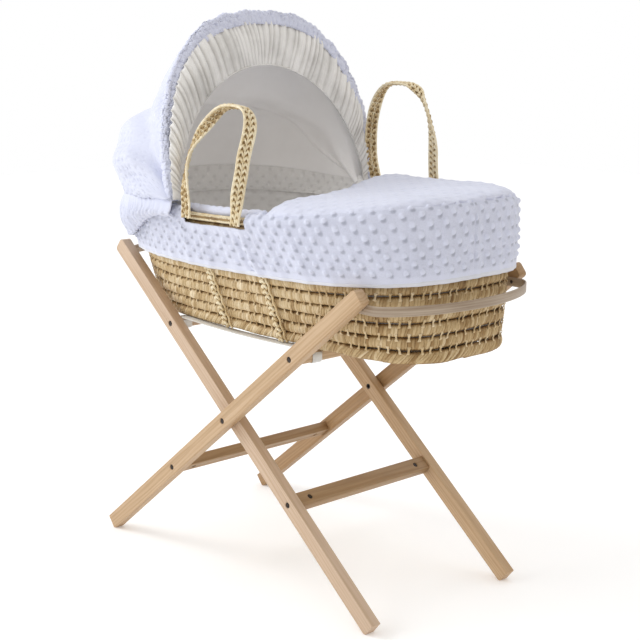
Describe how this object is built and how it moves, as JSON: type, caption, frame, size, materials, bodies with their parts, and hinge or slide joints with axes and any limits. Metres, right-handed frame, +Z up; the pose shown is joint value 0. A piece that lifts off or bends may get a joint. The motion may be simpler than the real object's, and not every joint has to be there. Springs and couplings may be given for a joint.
{
  "type": "bassinet on stand",
  "caption": "Woven palm Moses basket with fabric hood, skirt, quilt and carry handles, lifting off a scissor-folding pine stand.",
  "frame": {"origin": "on the floor under the middle of the whole object's box", "axes": "+Z up; +X towards the basket's foot end, -X towards the hood; +Y across, the far side as the basket is seen from its foot and near side"},
  "size_m": [0.82, 0.4942, 0.9846],
  "materials": {
    "pine": "oiled pine, satin",
    "dark_steel": "blackened steel",
    "bent_strip": "thin bent wood strip, grey-beige, satin",
    "webbing": "flat woven webbing",
    "woven_palm": "coiled and stitched palm leaf, straw coloured",
    "palm_braid": "plaited palm leaf",
    "dimple_fabric": "soft white raised-dot plush",
    "grey_lining": "smooth cotton lining",
    "gathered_facing": "gathered cotton",
    "mattress_cover": "white cotton cover",
    "hoop_wire": "coated spring wire"
  },
  "bodies": {
    "inner_frame": {"inner_leg_near": "pine", "inner_leg_far": "pine", "inner_top_rung": "pine", "inner_low_rung": "pine", "inner_top_rung_bolt_near": "dark_steel", "inner_top_rung_bolt_far": "dark_steel", "inner_top_rung_nut_near": "dark_steel", "inner_top_rung_nut_far": "dark_steel", "inner_low_rung_bolt_near": "dark_steel", "inner_low_rung_bolt_far": "dark_steel", "inner_low_rung_nut_near": "dark_steel", "inner_low_rung_nut_far": "dark_steel", "pivot_bolt_near": "dark_steel", "pivot_bolt_far": "dark_steel", "pivot_nut_near": "dark_steel", "pivot_nut_far": "dark_steel", "pivot_washer_near": "dark_steel", "pivot_washer_far": "dark_steel", "head_band": "bent_strip", "head_band_screw_near": "dark_steel", "head_band_screw_far": "dark_steel", "strap_near": "webbing", "strap_far": "webbing"},
    "outer_frame": {"outer_leg_near": "pine", "outer_leg_far": "pine", "outer_top_rung": "pine", "outer_low_rung": "pine", "outer_top_rung_bolt_near": "dark_steel", "outer_top_rung_bolt_far": "dark_steel", "outer_top_rung_nut_near": "dark_steel", "outer_top_rung_nut_far": "dark_steel", "outer_low_rung_bolt_near": "dark_steel", "outer_low_rung_bolt_far": "dark_steel", "outer_low_rung_nut_near": "dark_steel", "outer_low_rung_nut_far": "dark_steel", "foot_band": "bent_strip", "foot_band_screw_near": "dark_steel", "foot_band_screw_far": "dark_steel"},
    "basket": {"basket_base": "woven_palm", "basket_wall": "woven_palm", "basket_rim": "woven_palm", "liner": "grey_lining", "skirt": "dimple_fabric", "mattress": "mattress_cover", "quilt": "dimple_fabric", "hood_skirt": "dimple_fabric", "wall_strap_near_head": "palm_braid", "wall_strap_near_foot": "palm_braid", "wall_strap_far_head": "palm_braid", "wall_strap_far_foot": "palm_braid"},
    "hood": {"hood_facing": "gathered_facing", "hood_hoop": "hoop_wire", "hood_cover": "dimple_fabric", "hood_lining": "grey_lining"},
    "handle_near": {"handle_near": "palm_braid"},
    "handle_far": {"handle_far": "palm_braid"}
  },
  "joints": [
    {"name": "basket_lift", "type": "slide", "parent": "inner_frame", "child": "basket", "axis": [0, 0, 1], "range_m": [0, 0.7]},
    {"name": "frame_fold", "type": "hinge", "parent": "inner_frame", "child": "outer_frame", "pos_m": [-0.0085, 0, 0.292], "axis": [0, -1, 0], "range_deg": [0, 90], "deforming": ["strap_near", "strap_far", "foot_band"]},
    {"name": "hood_fold", "type": "hinge", "parent": "basket", "child": "hood", "pos_m": [-0.0895, 0, 0.676], "axis": [0, -1, 0], "range_deg": [0, 60], "deforming": ["hood_cover", "hood_lining"]},
    {"name": "handle_near_swing", "type": "hinge", "parent": "basket", "child": "handle_near", "pos_m": [0.0145, -0.24, 0.6604], "axis": [1, 0, 0], "range_deg": [-30, 150]},
    {"name": "handle_far_swing", "type": "hinge", "parent": "basket", "child": "handle_far", "pos_m": [0.0075, 0.24, 0.6602], "axis": [-1, 0, 0], "range_deg": [-20, 140]}
  ],
  "couplings": [
    {"joint": "frame_fold", "follows": "basket_lift", "rad_per_m": 2.24}
  ]
}
